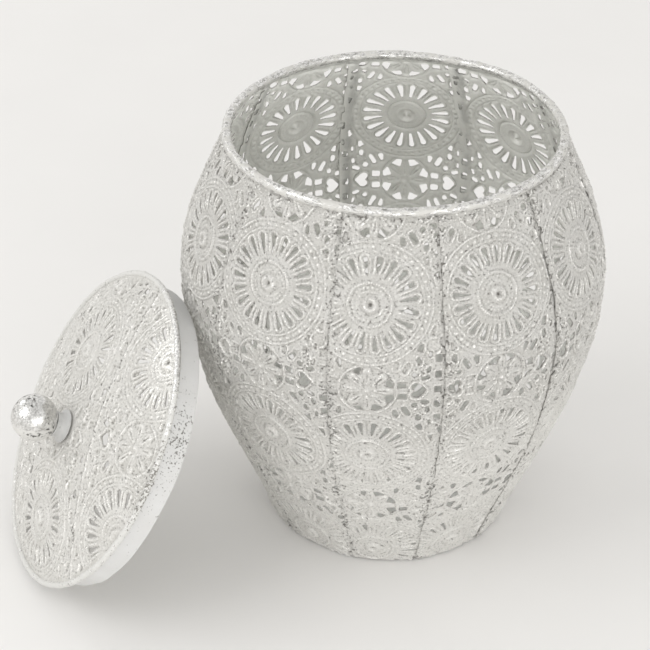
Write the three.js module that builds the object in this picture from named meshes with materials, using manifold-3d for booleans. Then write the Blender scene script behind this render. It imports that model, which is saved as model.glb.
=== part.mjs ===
// Tealight holder: a bellied jar made of pierced sheet-metal gores, with its loose lid leaning against it.
// Millimetres, +Z up. The origin is the centre of the base's underside, and the lid leans on the -X side.
// Turns about Z are degrees from -Y towards +X, and the jar's gores run in that direction.
import * as THREE from "three";
import { mergeVertices } from "three/addons/utils/BufferGeometryUtils.js";
import Module from "manifold-3d";

const wasm = await Module();
wasm.setup();

// Fits
const PIECE_GAP = 0.3; // between pieces that are soldered or clamped together
const LEAN_GAP = 0.3; // from the leaning lid to the jar's widest line and to the floor
const SKIRT_CLEARANCE = 1.6; // from the lid's skirt to the rim wire, all round
const SCREW_CLEARANCE = 0.3; // from the knob's screw to each hole that it passes

// Jar
const SHEET = 0.8; // over the embossing; the flat gauge is about half of it
const FOOT_RADIUS = 53.2;
const BELLY_RADIUS = 90;
const BELLY_HEIGHT = 121;
const MOUTH_RADIUS = 69.9; // outside of the sheet, in the plane of the rim wire
const BODY_HEIGHT = 183.5; // base to the centre of the rim wire
const FOOT_FLARE = 0.38; // radius gained per millimetre of height at the foot
const MOUTH_TAPER = 0.43; // radius lost per millimetre of height at the mouth
const RIM_WIRE_RADIUS = 2;
const RIM_INSET = 0.7; // rim wire's centre line inside the sheet's outer face
const BASE_THICKNESS = 1;
const FIRST_SEAM = -108.2; // turn of the first gore's edge
const GORE_WIDTHS = [36, 36, 30, 34, 36, 37, 37, 36, 37, 41]; // degrees; the gores are cut by hand

// Lid
const LID_OVERHANG = 0.4; // lid's edge beyond the rim wire's centre line
const LID_RISE = 12; // top of the dome above the edge's plane
const LID_EDGE_RADIUS = 1.3; // half the thickness of the rolled edge
const SKIRT_DEPTH = 11.8; // below the edge's plane
const LID_SEAM_OFFSET = 24.6; // from the lid's centre to the seam between its two panels
const LID_SEAM_TURN = -63.5; // degrees from the lid's high side to the seam's normal
const LID_LEAN = 30.5; // degrees from upright

// Knob
const BALL_RADIUS = 9.9;
const BALL_SEAT = 4.2; // top of the dome to the bottom of the ball
const KNOB_OFFSET = 3.5; // from the lid's centre towards its low side
const COLLAR_FOOT_RADIUS = 7.2;
const COLLAR_LIP_RADIUS = 5.6;
const COLLAR_FOOT_HEIGHT = 1;
const SCREW_RADIUS = 2;
const SCREW_HOLE_DEPTH = 9; // into the ball
const SCREW_HEAD_RADIUS = 3.6;
const SCREW_HEAD_HEIGHT = 2.2;
const SCREW_SLOT_WIDTH = 0.9;
const SCREW_SLOT_DEPTH = 1;
const WASHER_RADIUS = 6;
const WASHER_THICKNESS = 1;

// Worked out from the sizes above
const RIM_RADIUS = MOUTH_RADIUS - RIM_INSET;
const LID_RADIUS = RIM_RADIUS + LID_OVERHANG;
const SKIRT_RADIUS = RIM_RADIUS - RIM_WIRE_RADIUS - SKIRT_CLEARANCE;
const PANEL_RADIUS = LID_RADIUS - 2 * LID_EDGE_RADIUS - PIECE_GAP;
const SCREW_HOLE_RADIUS = SCREW_RADIUS + SCREW_CLEARANCE;

// Facets
const PROFILE_STEPS = 6; // along each half of the jar's profile
const GORE_STEP = 6; // degrees
const ROUND_STEPS = 48;
const WIRE_SIDES = 8;
const SMALL_ROUND_STEPS = 24;
const DOME_STEPS = 5;
const DOME_MIDDLE_RADIUS = 1; // flat at the top of the dome

const washedSheet = new THREE.MeshStandardMaterial({ color: 0xd0cdc8, roughness: 0.5, metalness: 0.35 });
const wornWire = new THREE.MeshStandardMaterial({ color: 0xd6d4d0, roughness: 0.35, metalness: 0.6 });
const whitePaint = new THREE.MeshStandardMaterial({ color: 0xdedcd8, roughness: 0.6, metalness: 0 });
const mirrorBall = new THREE.MeshStandardMaterial({ color: 0xc8c8c6, roughness: 0.2, metalness: 0.9 });
const bareSteel = new THREE.MeshStandardMaterial({ color: 0x8f8f8c, roughness: 0.45, metalness: 0.9 });

const radians = THREE.MathUtils.degToRad;

function mesh(name, geometry, material) {
  const made = new THREE.Mesh(geometry, material);
  made.name = name;
  return made;
}

function solidOf(geometry) {
  const bare = geometry.clone();
  bare.deleteAttribute("normal");
  bare.deleteAttribute("uv");
  const merged = mergeVertices(bare, 1e-3);
  return new wasm.Manifold(
    new wasm.Mesh({
      numProp: 3,
      vertProperties: merged.attributes.position.array,
      triVerts: new Uint32Array(merged.index.array),
    }),
  );
}

function geometryOf(solid) {
  const made = solid.getMesh();
  const geometry = new THREE.BufferGeometry();
  geometry.setAttribute("position", new THREE.BufferAttribute(made.vertProperties, made.numProp));
  geometry.setIndex(new THREE.BufferAttribute(made.triVerts, 1));
  geometry.computeVertexNormals();
  return geometry;
}

// A profile of (radius, height) points turned about the Z axis, from one turn to another.
function turned(points, steps, from = 0, width = 360) {
  const geometry = new THREE.LatheGeometry(points, steps, radians(from), radians(width));
  return geometry.rotateX(Math.PI / 2);
}

function closed(points) {
  return [...points, points[0].clone()];
}

// The jar's outer profile from the foot to the rim wire: straight flanks that bend at the belly.
function jarProfile() {
  const lower = BELLY_HEIGHT / 3;
  const upper = (BODY_HEIGHT - BELLY_HEIGHT) / 3;
  const flank = new THREE.CubicBezierCurve(
    new THREE.Vector2(FOOT_RADIUS, 0),
    new THREE.Vector2(FOOT_RADIUS + FOOT_FLARE * lower, lower),
    new THREE.Vector2(BELLY_RADIUS, BELLY_HEIGHT - 1.1 * lower),
    new THREE.Vector2(BELLY_RADIUS, BELLY_HEIGHT),
  );
  const shoulder = new THREE.CubicBezierCurve(
    new THREE.Vector2(BELLY_RADIUS, BELLY_HEIGHT),
    new THREE.Vector2(BELLY_RADIUS, BELLY_HEIGHT + upper),
    new THREE.Vector2(MOUTH_RADIUS + MOUTH_TAPER * upper, BODY_HEIGHT - upper),
    new THREE.Vector2(MOUTH_RADIUS, BODY_HEIGHT),
  );
  return { flank, shoulder };
}

// The parameter at which the shoulder reaches a height, by halving.
function shoulderAt(shoulder, height) {
  let low = 0;
  let high = 1;
  for (let i = 0; i < 30; i++) {
    const middle = (low + high) / 2;
    if (shoulder.getPoint(middle).y < height) low = middle;
    else high = middle;
  }
  return low;
}

// Closed section of one gore: out along the profile's outer face, back along its inner one.
function goreSection() {
  const { flank, shoulder } = jarProfile();
  const top = shoulderAt(shoulder, BODY_HEIGHT - RIM_WIRE_RADIUS - PIECE_GAP);
  const outer = [];
  for (let i = 0; i < PROFILE_STEPS; i++) outer.push(flank.getPoint(i / PROFILE_STEPS));
  for (let i = 0; i <= PROFILE_STEPS; i++) outer.push(shoulder.getPoint((top * i) / PROFILE_STEPS));
  const inner = outer.map((point) => new THREE.Vector2(point.x - SHEET, point.y));
  return closed([...outer, ...inner.reverse()]);
}

// A closed section turned through part of a circle, with a flat face at each end.
function turnedPiece(section, steps, from, width) {
  const wall = turned(section, steps, from, width);
  const faces = THREE.ShapeUtils.triangulateShape(section.slice(0, -1), []);
  const lastEnd = steps * section.length;
  const index = [...wall.index.array];
  for (const [a, b, c] of faces) {
    index.push(a, b, c);
    index.push(lastEnd + a, lastEnd + c, lastEnd + b);
  }
  wall.setIndex(index);
  return wall;
}

function gore(name, from, width) {
  const gap = THREE.MathUtils.radToDeg(PIECE_GAP / FOOT_RADIUS);
  const steps = Math.round(width / GORE_STEP);
  return mesh(name, turnedPiece(goreSection(), steps, from + gap / 2, width - gap), washedSheet);
}

function gores() {
  const group = new THREE.Group();
  let from = FIRST_SEAM;
  GORE_WIDTHS.forEach((width, i) => {
    group.add(gore(`gore_${String(i + 1).padStart(2, "0")}`, from, width));
    from += width;
  });
  return group;
}

function basePlate() {
  const radius = FOOT_RADIUS - SHEET - PIECE_GAP;
  const plate = new THREE.CylinderGeometry(radius, radius, BASE_THICKNESS, ROUND_STEPS);
  plate.rotateX(Math.PI / 2);
  const made = mesh("base_plate", plate, bareSteel);
  made.position.z = BASE_THICKNESS / 2;
  return made;
}

function rimWire() {
  const wire = new THREE.TorusGeometry(RIM_RADIUS, RIM_WIRE_RADIUS, WIRE_SIDES, ROUND_STEPS);
  const made = mesh("rim_wire", wire, wornWire);
  made.position.z = BODY_HEIGHT;
  return made;
}

function jar() {
  const group = new THREE.Group();
  group.add(basePlate(), gores(), rimWire());
  return group;
}

// Height of the dome's upper face above the plane of the lid's edge.
function domeTop(radius) {
  return LID_RISE * (1 - (radius / LID_RADIUS) ** 2);
}

// The whole dome, with the screw's hole at a place given in the panels' own frame.
function dome(hole) {
  const upper = [];
  for (let i = 0; i <= DOME_STEPS; i++) {
    const radius = THREE.MathUtils.lerp(PANEL_RADIUS, DOME_MIDDLE_RADIUS, i / DOME_STEPS);
    upper.push(new THREE.Vector2(radius, domeTop(radius)));
  }
  upper.push(new THREE.Vector2(0, domeTop(DOME_MIDDLE_RADIUS)));
  const lower = upper.map((point) => new THREE.Vector2(point.x, point.y - SHEET));
  const whole = solidOf(turned([...lower.reverse(), ...upper], ROUND_STEPS));
  const drill = new THREE.CylinderGeometry(SCREW_HOLE_RADIUS, SCREW_HOLE_RADIUS, 4 * LID_RISE, SMALL_ROUND_STEPS);
  return whole.subtract(solidOf(drill.rotateX(Math.PI / 2)).translate([hole.x, hole.y, 0]));
}

// The dome is two panels that meet at one straight seam beside the knob.
function lidPanels() {
  const hole = new THREE.Vector2(-KNOB_OFFSET, 0).rotateAround(new THREE.Vector2(), -radians(LID_SEAM_TURN));
  const whole = dome(hole);
  const reach = 2 * LID_RADIUS;
  const cutter = solidOf(new THREE.BoxGeometry(reach, 2 * reach, 2 * reach));
  const middle = LID_SEAM_OFFSET;
  const rightHalf = cutter.translate([middle + (reach - PIECE_GAP) / 2, 0, 0]);
  const leftHalf = cutter.translate([middle - (reach - PIECE_GAP) / 2, 0, 0]);
  const group = new THREE.Group();
  group.add(
    mesh("lid_panel_wide", geometryOf(whole.subtract(rightHalf)), washedSheet),
    mesh("lid_panel_narrow", geometryOf(whole.subtract(leftHalf)), washedSheet),
  );
  group.rotation.z = radians(LID_SEAM_TURN);
  return group;
}

function lidEdge() {
  const centre = LID_RADIUS - LID_EDGE_RADIUS;
  return mesh("lid_edge", new THREE.TorusGeometry(centre, LID_EDGE_RADIUS, WIRE_SIDES, ROUND_STEPS), wornWire);
}

function lidSkirt() {
  const top = domeTop(SKIRT_RADIUS) - SHEET - PIECE_GAP;
  const section = [
    new THREE.Vector2(SKIRT_RADIUS - SHEET, -SKIRT_DEPTH),
    new THREE.Vector2(SKIRT_RADIUS, -SKIRT_DEPTH),
    new THREE.Vector2(SKIRT_RADIUS, top),
    new THREE.Vector2(SKIRT_RADIUS - SHEET, top),
  ];
  return mesh("lid_skirt", turned(closed(section), ROUND_STEPS), whitePaint);
}

// Height of the ball's lower face over the bottom of the ball.
function ballUnderside(radius) {
  return BALL_RADIUS - Math.sqrt(BALL_RADIUS ** 2 - radius ** 2);
}

// A cone with a dished top that the ball sits in.
function knobCollar() {
  const foot = LID_RISE + PIECE_GAP;
  const dish = [];
  for (let i = 0; i <= 3; i++) {
    const radius = THREE.MathUtils.lerp(COLLAR_LIP_RADIUS, SCREW_HOLE_RADIUS, i / 3);
    dish.push(new THREE.Vector2(radius, LID_RISE + BALL_SEAT - PIECE_GAP + ballUnderside(radius)));
  }
  const section = [
    new THREE.Vector2(SCREW_HOLE_RADIUS, foot),
    new THREE.Vector2(COLLAR_FOOT_RADIUS, foot),
    new THREE.Vector2(COLLAR_FOOT_RADIUS, foot + COLLAR_FOOT_HEIGHT),
    ...dish,
  ];
  return mesh("knob_collar", turned(closed(section), SMALL_ROUND_STEPS), bareSteel);
}

function knobBall() {
  const centre = LID_RISE + BALL_SEAT + BALL_RADIUS;
  const holeEnd = SCREW_HOLE_DEPTH - BALL_RADIUS;
  const mouth = Math.asin(SCREW_HOLE_RADIUS / BALL_RADIUS);
  const section = [new THREE.Vector2(0, holeEnd), new THREE.Vector2(SCREW_HOLE_RADIUS, holeEnd)];
  const steps = SMALL_ROUND_STEPS / 2;
  for (let i = 0; i < steps; i++) {
    const angle = THREE.MathUtils.lerp(mouth, Math.PI, i / steps);
    section.push(new THREE.Vector2(BALL_RADIUS * Math.sin(angle), -BALL_RADIUS * Math.cos(angle)));
  }
  section.push(new THREE.Vector2(0, BALL_RADIUS));
  const made = mesh("knob_ball", turned(section, SMALL_ROUND_STEPS), mirrorBall);
  made.position.z = centre;
  return made;
}

// Height of the washer's top, under the lowest part of the dome that it covers.
function knobUnderside() {
  return domeTop(KNOB_OFFSET + WASHER_RADIUS) - SHEET - PIECE_GAP;
}

function knobWasher() {
  const top = knobUnderside();
  const section = [
    new THREE.Vector2(SCREW_HOLE_RADIUS, top - WASHER_THICKNESS),
    new THREE.Vector2(WASHER_RADIUS, top - WASHER_THICKNESS),
    new THREE.Vector2(WASHER_RADIUS, top),
    new THREE.Vector2(SCREW_HOLE_RADIUS, top),
  ];
  return mesh("knob_washer", turned(closed(section), SMALL_ROUND_STEPS), bareSteel);
}

// The screw comes up from inside the lid, through the washer, the dome and the collar, into the ball.
function knobScrew() {
  const headTop = knobUnderside() - WASHER_THICKNESS - PIECE_GAP;
  const headBottom = headTop - SCREW_HEAD_HEIGHT;
  const tip = LID_RISE + BALL_SEAT + SCREW_HOLE_DEPTH - PIECE_GAP;
  const section = [
    new THREE.Vector2(0, headBottom),
    new THREE.Vector2(0.7 * SCREW_HEAD_RADIUS, headBottom),
    new THREE.Vector2(SCREW_HEAD_RADIUS, headTop - 0.4 * SCREW_HEAD_HEIGHT),
    new THREE.Vector2(SCREW_HEAD_RADIUS, headTop),
    new THREE.Vector2(SCREW_RADIUS, headTop),
    new THREE.Vector2(SCREW_RADIUS, tip - SCREW_RADIUS / 2),
    new THREE.Vector2(SCREW_RADIUS / 2, tip),
    new THREE.Vector2(0, tip),
  ];
  const body = solidOf(turned(section, SMALL_ROUND_STEPS));
  const slot = solidOf(new THREE.BoxGeometry(3 * SCREW_HEAD_RADIUS, SCREW_SLOT_WIDTH, 2 * SCREW_SLOT_DEPTH));
  return mesh("knob_screw", geometryOf(body.subtract(slot.translate([0, 0, headBottom]))), bareSteel);
}

function knob() {
  const group = new THREE.Group();
  group.add(knobCollar(), knobBall(), knobWasher(), knobScrew());
  group.position.x = -KNOB_OFFSET;
  return group;
}

// The lid about its own axis, with its edge in the plane z = 0 and its knob up.
function lid() {
  const group = new THREE.Group();
  group.add(lidPanels(), lidEdge(), lidSkirt(), knob());
  return group;
}

// The skirt's low side stands just over the floor and its high side just off the jar's widest line.
function leaningLid() {
  const lean = radians(LID_LEAN);
  const out = BELLY_RADIUS + LEAN_GAP + SKIRT_DEPTH * Math.cos(lean) + SKIRT_RADIUS * Math.sin(lean);
  const up = LEAN_GAP + SKIRT_DEPTH * Math.sin(lean) + SKIRT_RADIUS * Math.cos(lean);
  const group = lid();
  group.position.set(-out, 0, up);
  group.rotation.y = lean - Math.PI / 2;
  return group;
}

const holder = new THREE.Group();
holder.add(jar(), leaningLid());

export default holder;
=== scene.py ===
"""Tealight holder: a bellied jar of pierced and embossed gores, with its lid leaning on it.

The looks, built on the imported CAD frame. Shapes are worked out in millimetres, and placed in metres.
The sizes under "From the CAD model" repeat those of the CAD source.
"""

import math

import bpy
import numpy as np
from mathutils import Matrix


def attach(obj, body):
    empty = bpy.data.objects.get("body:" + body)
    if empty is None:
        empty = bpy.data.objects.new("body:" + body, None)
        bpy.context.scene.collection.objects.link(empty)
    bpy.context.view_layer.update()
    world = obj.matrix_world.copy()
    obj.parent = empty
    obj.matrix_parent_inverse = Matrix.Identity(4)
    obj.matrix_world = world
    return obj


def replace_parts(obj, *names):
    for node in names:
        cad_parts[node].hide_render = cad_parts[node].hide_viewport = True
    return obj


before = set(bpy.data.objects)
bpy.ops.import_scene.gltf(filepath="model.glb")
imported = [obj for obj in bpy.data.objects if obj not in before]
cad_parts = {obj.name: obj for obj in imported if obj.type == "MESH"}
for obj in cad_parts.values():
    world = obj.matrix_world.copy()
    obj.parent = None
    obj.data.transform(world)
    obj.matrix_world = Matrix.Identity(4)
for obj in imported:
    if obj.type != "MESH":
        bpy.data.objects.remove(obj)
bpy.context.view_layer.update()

# From the CAD model, in millimetres and degrees
FOOT_RADIUS = 53.2
BELLY_RADIUS = 90.0
BELLY_HEIGHT = 121.0
MOUTH_RADIUS = 69.9
BODY_HEIGHT = 183.5
FOOT_FLARE = 0.38
MOUTH_TAPER = 0.43
RIM_WIRE_RADIUS = 2.0
RIM_RADIUS = 69.2
BASE_RADIUS = 52.1
BASE_THICKNESS = 1.0
FIRST_SEAM = -108.2
GORE_WIDTHS = [36, 36, 30, 34, 36, 37, 37, 36, 37, 41]
LID_RADIUS = 69.6
LID_RISE = 12.0
LID_EDGE_RADIUS = 1.3
SKIRT_RADIUS = 65.6
SKIRT_DEPTH = 11.8
SHEET = 0.8
PIECE_GAP = 0.3
LEAN_GAP = 0.3
LID_SEAM_OFFSET = 24.6
LID_SEAM_TURN = -63.5
LID_LEAN = 30.5
BALL_RADIUS = 9.9
BALL_SEAT = 4.2
KNOB_OFFSET = 3.5
COLLAR_FOOT_RADIUS = 7.2
COLLAR_LIP_RADIUS = 5.6
SCREW_HOLE_RADIUS = 2.3
SCREW_HOLE_DEPTH = 9.0

# The pressed sheet
GRID = 0.5  # spacing of its mesh points
GAUGE = 0.45  # thickness of the metal itself
FACE_DEPTH = 0.35  # flat face below the CAD model's outer face, which is over the embossing
LAP = 4.2  # width of a gore's margin under the next gore
LAP_DROP = 0.63  # how far that margin lies under the next gore's face
LAP_BEND = 1.8  # width of the bend that takes it there
FOOT_GAP = 0.3  # from the floor to a gore's foot
TOP_GAP = 0.9  # from a gore's top to the mouth
UNPIERCED = 9.0  # taken as the distance to the nearest hole where the sheet has none
PLAIN_FOOT = 3.0  # unpierced strip at a gore's foot
PLAIN_TOP = 3.2  # and at its top
FACETING = 0.325  # how much lower a gore's middle lies than the round jar
LID_PANEL_GAP = 1.2  # from the lid's outline to its panels, covered by the rolled edge
LID_PLAIN_EDGE = 2.6  # unpierced strip at the panels' outline
LID_RIDGE_OFFSET = 0.7  # from the lid's seam to the ridge along the panel that lies on top

# The embossed pattern: columns of medallions with small rosettes halfway between them
PITCH = 73.6  # from medallion to medallion up a column
COLUMN = 62.0  # from column to column
FIRST_MEDALLION = 83.8  # a medallion's centre, up the wall from the foot
MEDALLION_RADIUS = 26.2
SLOT_COUNT = 20
ROPE_STRANDS = 54
INNER_BEADS = 26
OUTER_BEADS = 44
EMBOSSING = 1.45  # scale of the embossing's heights
# Turn of each gore's column, how far its medallions lie above FIRST_MEDALLION and those over and under
# it, and the share of its small holes that the wash has clogged
GORE_COLUMNS = [
    (-86.7, -0.8, 0.4), (-55.6, 0.0, 0.45), (-26.0, 0.0, 0.4), (9.4, 0.0, 0.45), (43.7, 0.0, 0.45),
    (82.0, -2.6, 0.3), (120.8, -4.4, 0.0), (156.6, -3.2, 0.0), (191.5, -4.6, 0.0), (231.0, -2.4, 0.3),
]
LID_CLOGGED = 0.8  # the same share for the lid
# Each lid panel's medallion, as distances from the lid's centre towards and along the seam, the share of
# its slots that the wash has clogged, and its seed
LID_PANELS = {"wide": ((-7.5, 30.5), 0.12, 501), "narrow": ((54.4, 34.4), 0.34, 541)}

# Turned pieces
WIRE_STEPS = 1300  # points round the rim wire and the lid's edge
SKIRT_STEPS = 900
SKIRT_JOINT = 4.02  # turn of the skirt's lapped joint, in radians
# Worn places on the lid: degrees round it from its high side, and spread in radians. The rubbed place
# also gets a painted glint.
EDGE_CHIPS = (284, 0.3)
EDGE_RUBBING_AND_GLINT = (333, 0.36)
SKIRT_CHIPS = (307, 0.24)
SKIRT_FAINT_CHIPS = (288, 0.4)

# Camera, in metres, degrees and millimetres
CAMERA_PLACE = (-0.2775, -0.7542, 0.6031)
CAMERA_YAW = 18.155
CAMERA_PITCH = 32.686
CAMERA_ROLL = 0.145
CAMERA_LENS = 121.85
SENSOR_WIDTH = 36

# Studio, with the floor in millimetres and the lights in metres and watts
FLOOR_REACH = 4000
FLOOR_DROP = 0.4  # below the jar's foot, so that the two don't share a plane
HORIZON = (1.12, 1.11, 1.09)
ZENITH = (0.82, 0.815, 0.805)
# Each light's place, the point it faces, its width and height, and its power
LIGHTS = {
    "key": ((-1.3, -0.1, 1.2), (0, 0, 0.08), (1.1, 1.1), 7),
    "fill": ((0.0, -2.0, 0.5), (0, 0, 0.06), (1.8, 0.9), 13.5),
    "glint": ((-0.8, 1.3, 0.9), (-0.1, 0, 0.08), (0.5, 0.5), 1.5),
}


# -------- noise and plane shapes

def noise(x, y, size, seed):
    """Smooth noise from -1 to 1 with one bump in about each size by size square."""
    values = np.random.default_rng(seed).uniform(-1, 1, (128, 128))
    u, v = x / size, y / size
    i, j = np.floor(u).astype(int), np.floor(v).astype(int)
    f, g = u - i, v - j
    f, g = f * f * (3 - 2 * f), g * g * (3 - 2 * g)
    low = values[i % 128, j % 128] * (1 - f) + values[(i + 1) % 128, j % 128] * f
    high = values[i % 128, (j + 1) % 128] * (1 - f) + values[(i + 1) % 128, (j + 1) % 128] * f
    return low * (1 - g) + high * g


def line_noise(along, size, seed):
    """Smooth noise along a line."""
    return noise(along, 0 * along, size, seed)


def smooth_step(value, start, end):
    """0 up to the start and 1 from the end, with a smooth rise between them."""
    u = np.clip((value - start) / (end - start), 0, 1)
    return u * u * (3 - 2 * u)


def ridge(distance, width):
    """A rounded ridge 1 high where the distance is 0."""
    return np.exp(-((distance / width) ** 2))


def disc(x, y, centre, radius):
    """Distance to a disc."""
    return np.hypot(x - centre[0], y - centre[1]) - radius


def capsule(x, y, start, end, start_radius, end_radius):
    """Distance to a rod with round ends, which may be thicker at one end."""
    dx, dy = end[0] - start[0], end[1] - start[1]
    along = np.clip(((x - start[0]) * dx + (y - start[1]) * dy) / (dx * dx + dy * dy), 0, 1)
    radius = start_radius + (end_radius - start_radius) * along
    return np.hypot(x - start[0] - dx * along, y - start[1] - dy * along) - radius


def polygon(x, y, corners, rounding=0.0):
    """Distance to a polygon's outline, negative inside."""
    nearest = np.full(x.shape, np.inf)
    inside = np.zeros(x.shape, bool)
    for (ax, ay), (bx, by) in zip(corners, corners[1:] + corners[:1]):
        ex, ey = bx - ax, by - ay
        along = np.clip(((x - ax) * ex + (y - ay) * ey) / (ex * ex + ey * ey), 0, 1)
        nearest = np.minimum(nearest, np.hypot(x - ax - ex * along, y - ay - ey * along))
        crosses = ((ay > y) != (by > y)) & (x < ax + ex * (y - ay) / (ey if ey else 1e-9))
        inside ^= crosses
    return np.where(inside, -nearest, nearest) - rounding


def wrapped(value, period):
    """The value brought to within half a period of 0."""
    return (value + period / 2) % period - period / 2


# -------- the embossed pattern

def heart(x, y):
    """Distance to the upper half of a heart that points away from a rosette."""
    point = polygon(x, y, [(18.7, -1.0), (18.7, 2.6), (20.6, 3.0), (23.1, 0.3), (23.1, -1.0)], 0.2)
    return np.minimum(disc(x, y, (19.3, 1.75), 1.75), point)


def rosette_holes(x, y):
    """Distance to the nearest hole round a rosette, for one quarter of it: x and y are not negative."""
    shapes = [
        polygon(x, y, [(2.5, 6.9), (1.7, 10.0), (3.9, 10.1), (6.0, 8.2)], 0.3),
        polygon(x, y, [(6.9, 2.5), (10.1, 1.7), (10.4, 3.9), (8.4, 6.2)], 0.3),
        polygon(x, y, [(12.2, 1.7), (15.2, 1.7), (15.2, 3.9), (12.2, 3.9)], 0.3),
        heart(x, y),
        capsule(x, y, (14.7, 9.1), (16.4, 12.0), 1.1, 0.95),
        capsule(x, y, (11.1, 10.3), (11.5, 12.3), 0.75, 1.15),
        disc(x, y, (18.8, 7.4), 1.15),
        capsule(x, y, (22.3, 5.7), (23.9, 6.3), 0.95, 0.9),
        capsule(x, y, (24.2, 9.2), (24.5, 10.5), 0.75, 0.7),
        capsule(x, y, (20.6, 13.2), (20.7, 14.6), 0.95, 1.0),
        polygon(x, y, [(19.9, 18.4), (21.5, 17.6), (21.8, 20.4), (20.9, 20.5)], 0.35),
        capsule(x, y, (24.8, 15.8), (24.8, 17.2), 0.6, 0.6),
        polygon(x, y, [(24.9, 24.6), (26.2, 24.0), (26.2, 27.8)], 0.35),
        polygon(x, y, [(27.3, 6.0), (29.3, 6.0), (29.3, 8.4), (27.3, 8.4)], 0.35),
        polygon(x, y, [(27.3, 13.2), (29.3, 13.2), (29.3, 15.8), (27.3, 15.8)], 0.35),
        polygon(x, y, [(27.1, -1.0), (29.5, -1.0), (29.5, 1.1), (27.1, 1.1)], 0.35),
        capsule(x, y, (29.2, 20.5), (29.6, 22.5), 0.8, 1.0),
        capsule(x, y, (29.0, 30.0), (29.4, 33.0), 0.8, 1.1),
    ]
    return np.minimum.reduce(shapes)


def medallion_slots(distance, angle):
    """Distance to the nearest of a medallion's spoke-like slots."""
    width = 2 * math.pi / SLOT_COUNT
    turn = wrapped(angle - width / 2, width)
    return capsule(distance * np.cos(turn), distance * np.sin(turn), (11.8, 0), (18.3, 0), 0.5, 1.28)


def bead_ring(distance, angle, radius, count, size):
    """Round beads, evenly spaced on a circle."""
    width = 2 * math.pi / count
    turn = wrapped(angle, width)
    return ridge(np.hypot(distance * np.cos(turn) - radius, distance * np.sin(turn)), size)


def medallion_relief(distance, angle, slots):
    """Height of a medallion's embossing."""
    boss = 0.65 * smooth_step(-distance, -4.2, -2.8) + 0.5 * ridge(distance - 2.2, 0.8)
    dimple = 1.2 * ridge(distance, 0.8)
    rope = 0.75 * (0.82 + 0.18 * np.cos(ROPE_STRANDS * angle)) * ridge(distance - 8.75, 0.62)
    slot_rims = 0.55 * ridge(slots - 0.62, 0.38) * smooth_step(distance, 11.0, 14.0)
    rings = 0.25 * ridge(distance - 5.3, 0.5) + 0.4 * ridge(distance - 21.3, 0.42)
    rings += 0.5 * ridge(distance - 25.0, 0.45)
    beads = 0.32 * bead_ring(distance, angle, 6.9, INNER_BEADS, 0.5)
    beads += 0.62 * bead_ring(distance, angle, 23.1, OUTER_BEADS, 0.75)
    return boss - dimple + rope + slot_rims + rings + beads


def petals(distance, angle):
    """Height of a rosette's eight petals, each with a slit along it."""
    turn = wrapped(angle, math.pi / 4)
    x, y = distance * np.cos(turn), np.abs(distance * np.sin(turn))
    leaf = capsule(x, y, (3.2, 0), (8.6, 0), 0.7, 1.75)
    slit = capsule(x, y, (4.2, 0), (7.8, 0), 0.05, 0.1)
    return 0.55 * smooth_step(-leaf, -0.35, 0.7) - 0.5 * ridge(np.maximum(slit, 0), 0.32)


def flower(x, y, centre):
    """Height of a small flower: a bead with six small rings round it."""
    dx, dy = x - centre[0], y - centre[1]
    distance, angle = np.hypot(dx, dy), np.arctan2(dy, dx)
    turn = wrapped(angle, math.pi / 3)
    petal = np.hypot(distance * np.cos(turn) - 2.15, distance * np.sin(turn))
    return 0.6 * ridge(distance, 0.7) + 0.55 * ridge(petal - 0.85, 0.42)


def rosette_relief(x, y, holes):
    """Height of the embossing round a rosette, for one quarter of it."""
    distance, angle = np.hypot(x, y), np.arctan2(y, x)
    height = petals(distance, angle) + 0.9 * ridge(distance, 1.1)
    height += 0.5 * ridge(distance - 11.6, 0.42)
    height += 0.5 * ridge(heart(x, y) - 0.95, 0.36)
    height += flower(x, y, (21.3, 10.2))
    height += 0.38 * ridge(holes - 0.6, 0.36) * smooth_step(distance, 12.2, 13.0)
    height += 0.4 * ridge(np.hypot(x - 26.0, y - 20.0) - 3.4, 0.4)
    return height


def pattern(s, t):
    """Distances to the nearest slot and the nearest small hole, and the embossing's height.

    s runs across the flat sheet's columns and t up them, both from the centre of one medallion.
    """
    x = np.abs(wrapped(s, COLUMN))
    up = wrapped(t, PITCH)
    between = np.abs(wrapped(t - PITCH / 2, PITCH))
    distance, angle = np.hypot(x, up), np.arctan2(up, x)
    slots = medallion_slots(distance, angle)
    corners = rosette_holes(x, between)
    on_medallion = smooth_step(-distance, -MEDALLION_RADIUS, 0.6 - MEDALLION_RADIUS)
    height = on_medallion * medallion_relief(distance, angle, slots)
    height += (1 - on_medallion) * rosette_relief(x, between, corners)
    return slots, corners, height


def clogging(s, t, size, seed, share):
    """1 in the patches where the wash fills the holes, about the given share of the sheet."""
    limit = 0.9 - 1.8 * share
    return smooth_step(noise(s, t, size, seed), limit, limit + 0.08)


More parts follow.
